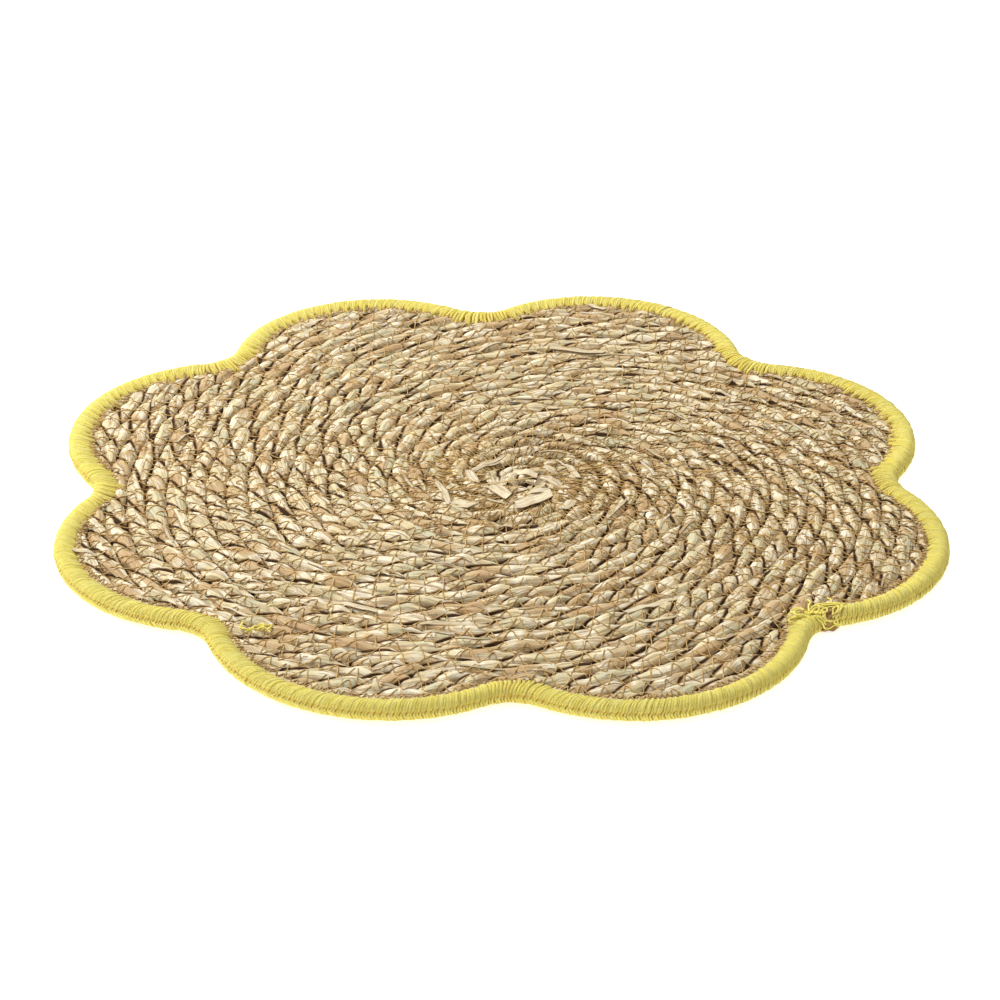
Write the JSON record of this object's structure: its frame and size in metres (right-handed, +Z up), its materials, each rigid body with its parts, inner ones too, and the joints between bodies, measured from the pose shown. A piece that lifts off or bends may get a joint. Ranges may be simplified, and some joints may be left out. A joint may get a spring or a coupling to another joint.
{
  "type": "scalloped placemat",
  "caption": "Flat table mat of coiled seagrass rope, cut to rounded lobes like a flower, its edge bound all round with yellow cotton yarn.",
  "frame": {"origin": "middle of the mat's length and width, on the surface that it lies on", "axes": "+Z up out of the mat, +X to the right and +Y away from the person who sits at it"},
  "size_m": [0.3652, 0.3624, 0.0092],
  "materials": {
    "seagrass": "dry twisted leaf rope, matt with a faint sheen on the flat blades",
    "yellow_cotton": "soft matt cotton yarn, oversewn in close slanting turns"
  },
  "bodies": {
    "root": {"coil_mat": "seagrass", "edge_binding": "yellow_cotton"}
  },
  "joints": []
}
